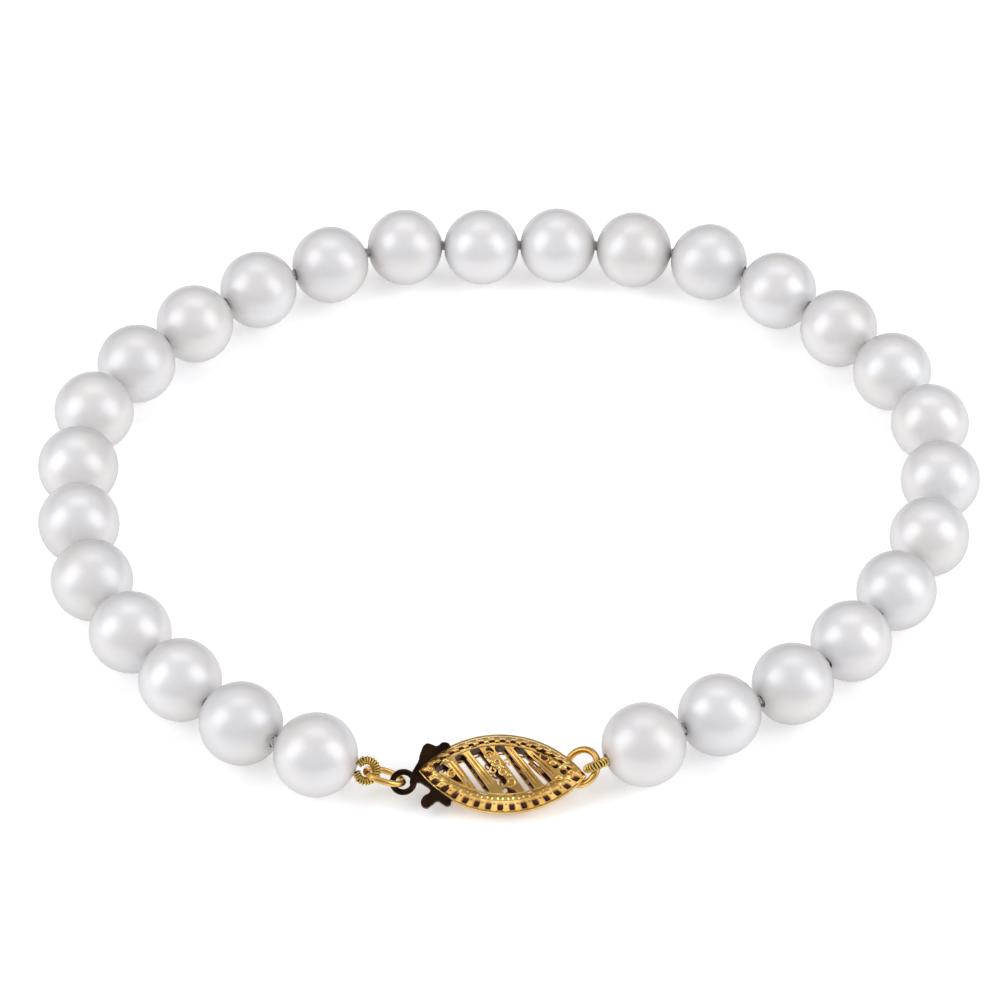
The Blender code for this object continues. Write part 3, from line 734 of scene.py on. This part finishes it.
def make_cutter(start, end, width):
    """An upright prism with round ends, to cut a gap."""
    run = Vector(end) - Vector(start)
    turn = math.atan2(run.y, run.x)
    low, high = [], []
    for centre, first in ((end, -90.0), (start, 90.0)):
        for k in range(7):
            angle = turn + math.radians(first + 30.0 * k)
            x = centre[0] + width / 2 * math.cos(angle)
            y = centre[1] + width / 2 * math.sin(angle)
            low.append((x, y, -4 * MM))
            high.append((x, y, 4 * MM))
    bm = bmesh.new()
    layer = bm.verts.layers.float.new("tarnish_and_shade")
    base = [bm.verts.new(point) for point in low]
    top = [bm.verts.new(point) for point in high]
    # The gap walls are darkened in full: painted shade in the gaps, with tarnish.
    for vertex in base + top:
        vertex[layer] = 1.0
    bm.faces.new(base)
    bm.faces.new(top)
    for i in range(len(base)):
        j = (i + 1) % len(base)
        bm.faces.new((base[i], base[j], top[j], top[i]))
    bmesh.ops.recalc_face_normals(bm, faces=bm.faces)
    mesh = bpy.data.meshes.new("cutter")
    bm.to_mesh(mesh)
    bm.free()
    obj = bpy.data.objects.new("cutter", mesh)
    bpy.context.scene.collection.objects.link(obj)
    return obj


def cut(obj, cutters):
    """Cuts all the cutters from the object, at a size where the solver is exact."""
    tool = joined("cutters", cutters)
    for item in (obj, tool):
        item.data.transform(Matrix.Scale(1 / MM, 4))
    pick(obj)
    modifier = obj.modifiers.new("cut", "BOOLEAN")
    modifier.operation = "DIFFERENCE"
    modifier.solver = "EXACT"
    modifier.use_self = True
    modifier.object = tool
    bpy.ops.object.modifier_apply(modifier=modifier.name)
    obj.data.transform(Matrix.Scale(MM, 4))
    bpy.data.objects.remove(tool)
    return obj


def on_dome(x, y, face, lift):
    """A point on a panel's face, in metres, from mm."""
    x, y = x * MM, y * MM
    return Vector((x, y, face * (dome(x, y) + lift)))


def make_relief(face):
    """The ridged bars, curls, bosses and inner beading on one panel."""
    pieces = []
    for start_x, start_y, end_x, end_y in BARS:
        run = Vector((end_x - start_x, end_y - start_y))
        off = Vector((-run.y, run.x)).normalized() * 0.13
        for side in (1, -1):
            points = []
            radii_here = []
            for k in range(13):
                share = k / 12
                x = start_x + share * run.x + side * off.x
                y = start_y + share * run.y + side * off.y
                points.append(on_dome(x, y, face, 0.03 * MM))
                swell = math.sin(math.pi * min(1, max(0, share * 0.9 + 0.05)))
                radii_here.append(0.55 + 0.45 * swell)
            pieces.append(wire("ridge", points, 0.21 * MM, 8, radii=radii_here))
    for middle_x, middle_y, radius, turns, first in CURLS:
        points, radii_here = [], []
        for k in range(23):
            share = k / 22
            angle = math.radians(first) + share * turns * 2 * math.pi
            reach = radius * (1 - 0.68 * share)
            x = middle_x + reach * math.cos(angle)
            y = middle_y + reach * math.sin(angle)
            points.append(on_dome(x, y, face, (0.04 + 0.06 * share) * MM))
            radii_here.append(1.0 - 0.3 * share)
        pieces.append(wire("curl", points, 0.17 * MM, 8, radii=radii_here))
    for middle_x, middle_y, radius in BOSSES:
        centre = on_dome(middle_x, middle_y, face, 0.02 * MM)
        bpy.ops.mesh.primitive_uv_sphere_add(
            segments=16, ring_count=10, radius=radius * MM, location=centre, scale=(1.25, 0.9, 0.7)
        )
        pieces.append(settle(bpy.context.object))
    for side in (1, -1):
        points = []
        for k in range(61):
            x, y = marquise((k / 30 - 1) * 0.93, EDGE_WIRE_INSET, side)
            points.append(Vector((x, y, face * (dome(x, y) + 0.01 * MM))))
        pieces.append(wire("inner_edge", points, 0.13 * MM, 8))
    return [set_tarnish_and_shade(smooth(piece), 0.0) for piece in pieces]


def make_housing():
    """Rim, pierced panels, relief and end ring as one piece."""
    cutters = []
    for start_x, start_y, end_x, end_y, width in GAPS:
        start, end = (start_x * MM, start_y * MM), (end_x * MM, end_y * MM)
        cutters.append(make_cutter(start, end, width * GAP_WIDTH))
    panels = joined("panels", [make_panel(1), make_panel(-1)])
    cut(panels, cutters)
    rim = make_rim()
    smooth(panels, 35.0)
    smooth(rim, 60.0)
    ring_points = []
    for i in range(64):
        angle = i / 64 * 2 * math.pi
        out = END_RING_RADIUS * math.cos(angle)
        ring_points.append(
            END_RING_MIDDLE
            + Vector(
                (
                    math.cos(END_RING_TILT) * out,
                    END_RING_RADIUS * math.sin(angle),
                    math.sin(END_RING_TILT) * out,
                )
            )
        )
    # The end ring is lightly darkened: tarnish and painted shade.
    ring = set_tarnish_and_shade(smooth(wire("end_ring", ring_points, END_RING_WIRE, 16, closed=True)), 0.15)
    pieces = [panels, rim, ring] + make_relief(1) + make_relief(-1)
    housing = joined("filigree_housing", pieces)
    housing.data.transform(CLASP)
    return finish_piece(housing, gold, "gold", "clasp_housing")


def make_tongue():
    """The flat hook with rounded edges, thumb lobes, barb and eyelet."""
    curve = bpy.data.curves.new("hook", "CURVE")
    curve.dimensions = "2D"
    curve.fill_mode = "BOTH"
    curve.extrude = 0.15 * MM
    curve.bevel_depth = 0.07 * MM
    curve.bevel_resolution = 3
    curve.offset = -0.07 * MM
    curve.resolution_u = 6
    spline = curve.splines.new("BEZIER")
    spline.bezier_points.add(len(TONGUE) - 1)
    spline.use_cyclic_u = True
    for corner, (x, y) in zip(spline.bezier_points, TONGUE):
        corner.co = (x * MM, y * MM, 0.0)
        corner.handle_left_type = "AUTO"
        corner.handle_right_type = "AUTO"
    hook = bpy.data.objects.new("hook", curve)
    bpy.context.scene.collection.objects.link(hook)
    pick(hook)
    bpy.ops.object.convert(target="MESH")
    hook = bpy.context.object
    bpy.ops.mesh.primitive_torus_add(
        location=EYELET, major_radius=0.75 * MM, minor_radius=0.22 * MM,
        major_segments=48, minor_segments=16,
    )
    eye = settle(bpy.context.object)
    tongue = smooth(joined("dark_brown_hook", [hook, eye]), 40.0)
    tongue.data.transform(CLASP)
    return finish_piece(tongue, dark_brown_metal, "oxidised_brass", "clasp_tongue")


make_pearls()
make_thread()
make_gimp("coiled_gimp_left", middles[0], radii[0], LEFT_LOOP, LEFT_ACROSS, "gimp_left")
make_gimp("coiled_gimp_right", middles[-1], radii[-1], RIGHT_LOOP, RIGHT_ACROSS, "gimp_right")
make_jump_ring()
make_tongue()
make_housing()

# Floor, light and camera

CAMERA_ELEVATION = math.radians(43.393)
CAMERA_DISTANCE = 333.06 * MM
CAMERA_TARGET = Vector((-0.617, -1.346, 3.0)) * MM


def make_floor():
    """A plain pale floor."""
    bpy.ops.mesh.primitive_plane_add(size=4.0)
    floor = bpy.context.object
    floor.name = "floor"
    paper = finish(
        "paper", (0.93, 0.93, 0.93), (0.92, 0.92, 0.925), 6.0, 400.0, (0.8, 0.95), 0.02, 0.0
    )
    floor.data.materials.append(paper)
    shader = paper.node_tree.nodes["Principled BSDF"]
    shader.inputs["Specular IOR Level"].default_value = 0.1
    shader.inputs["Emission Strength"].default_value = 0.28


def softbox(name, azimuth, elevation, distance, width, height, power):
    """A rectangular light aimed at the bracelet. Azimuth 0 is the camera's side."""
    a, e = math.radians(azimuth), math.radians(elevation)
    back = Vector((math.sin(a) * math.cos(e), -math.cos(a) * math.cos(e), math.sin(e)))
    data = bpy.data.lights.new(name, "AREA")
    data.shape = "RECTANGLE"
    data.size = width
    data.size_y = height
    data.energy = power
    data.color = (0.94, 0.96, 1.0)
    lamp = bpy.data.objects.new(name, data)
    bpy.context.scene.collection.objects.link(lamp)
    lamp.location = back * distance
    lamp.rotation_euler = (-back).to_track_quat("-Z", "Y").to_euler()
    return lamp


def make_world():
    """A white studio, greyer near the horizon."""
    world = bpy.data.worlds.new("studio")
    bpy.context.scene.world = world
    world.use_nodes = True
    nodes, links = world.node_tree.nodes, world.node_tree.links
    way = nodes.new("ShaderNodeTexCoord")
    split = nodes.new("ShaderNodeSeparateXYZ")
    ramp = nodes.new("ShaderNodeValToRGB")
    ramp.color_ramp.elements[0].position = 0.02
    ramp.color_ramp.elements[0].color = (0.26, 0.255, 0.26, 1.0)
    ramp.color_ramp.elements[1].position = 0.45
    ramp.color_ramp.elements[1].color = (0.82, 0.82, 0.83, 1.0)
    links.new(way.outputs["Generated"], split.inputs["Vector"])
    links.new(split.outputs["Z"], ramp.inputs["Fac"])
    links.new(ramp.outputs["Color"], nodes["Background"].inputs["Color"])
    nodes["Background"].inputs["Strength"].default_value = 0.68


def make_camera():
    """The camera at the photograph's angle."""
    data = bpy.data.cameras.new("camera")
    data.sensor_width = 36.0
    data.lens = 160.57
    data.clip_start = 0.01
    data.clip_end = 10.0
    camera = bpy.data.objects.new("camera", data)
    bpy.context.scene.collection.objects.link(camera)
    back = Vector((0.0, -math.cos(CAMERA_ELEVATION), math.sin(CAMERA_ELEVATION)))
    camera.location = CAMERA_TARGET + back * CAMERA_DISTANCE
    camera.rotation_euler = (math.pi / 2 - CAMERA_ELEVATION, 0.0, 0.0)
    bpy.context.scene.camera = camera


make_floor()
softbox("left_softbox", -75.0, 30.0, 0.60, 0.40, 0.60, 1.6)
softbox("right_softbox", 72.0, 32.0, 0.60, 0.40, 0.60, 1.6)
softbox("top_softbox", 180.0, 70.0, 0.70, 0.60, 0.30, 0.8)
make_world()
make_camera()
bpy.context.scene.view_settings.view_transform = "Standard"

bpy.context.view_layer.update()
